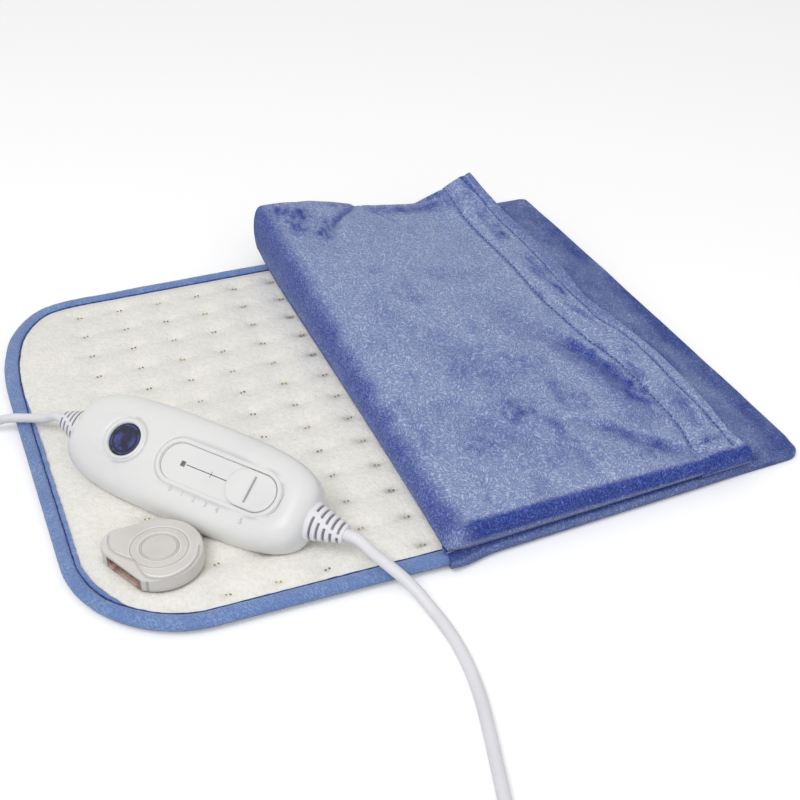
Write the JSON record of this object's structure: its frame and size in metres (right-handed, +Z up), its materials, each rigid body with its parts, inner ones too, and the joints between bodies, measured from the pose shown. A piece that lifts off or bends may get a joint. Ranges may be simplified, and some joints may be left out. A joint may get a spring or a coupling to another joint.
{
  "type": "heating pad with controller",
  "caption": "Quilted electric heating pad with a bound edge, pulled half out of its plush cover, with a slide-switch hand controller, leads and a coupling socket.",
  "frame": {"origin": "on the floor under the middle of the pad and its cover", "axes": "+X from the bare end of the pad to the closed end of the cover, +Y from the near edge to the far edge, +Z up"},
  "size_m": [0.5202, 0.5568, 0.0469],
  "materials": {
    "binding": "fuzzy blue edge tape",
    "board": "green circuit board",
    "brass": "brass pins",
    "copper_wire": "heating wire in its sleeve",
    "dark_parts": "dark parts on the board",
    "fleece": "cream white fleece",
    "lead_sheath": "smooth white sheath",
    "lens": "dark blue window",
    "lining": "plain woven lining",
    "plush": "periwinkle blue plush",
    "plush_inside": "greyish blue plush, seen from its other side",
    "socket_plastic": "light grey moulding",
    "steel": "plated steel",
    "tie": "plain white tie",
    "white_plastic": "satin white moulding"
  },
  "bodies": {
    "pad": {"circuit_board": "board", "controller_bottom_shell": "white_plastic", "controller_top_shell": "white_plastic", "coupling_plug": "lead_sheath", "display_lens": "lens", "display_module": "dark_parts", "fuse": "steel", "heater_sheet": "lining", "heating_wire": "copper_wire", "housing_screw_1": "steel", "housing_screw_2": "steel", "mains_lead": "lead_sheath", "mains_lead_boot": "white_plastic", "mains_lead_coil": "lead_sheath", "mains_lead_tail": "lead_sheath", "mains_lead_tie": "tie", "mains_plug": "lead_sheath", "mains_plug_pin_1": "steel", "mains_plug_pin_2": "steel", "pad_binding": "binding", "pad_bottom_layer": "lining", "pad_lead": "lead_sheath", "pad_lead_boot": "white_plastic", "pad_lead_coil": "lead_sheath", "pad_lead_tail": "lead_sheath", "pad_lead_tie": "tie", "pad_top_layer": "fleece", "slide_switch": "dark_parts", "socket_base": "socket_plastic", "socket_cover": "socket_plastic", "socket_pin_1": "brass", "socket_pin_2": "brass", "socket_pin_3": "brass", "thermal_cutout": "white_plastic", "track_plate": "white_plastic", "triac": "dark_parts"},
    "cover": {"cover_bag": "plush_inside", "cover_cuff": "plush"},
    "slider": {"slider_knob": "white_plastic", "slider_carriage": "dark_parts"}
  },
  "joints": [
    {"name": "cover_pull", "type": "slide", "parent": "pad", "child": "cover", "axis": [1, 0, 0], "range_m": [0, 0.2]},
    {"name": "slider_travel", "type": "slide", "parent": "pad", "child": "slider", "axis": [-0.6232, 0.7821, 0], "range_m": [0, 0.0395]}
  ]
}
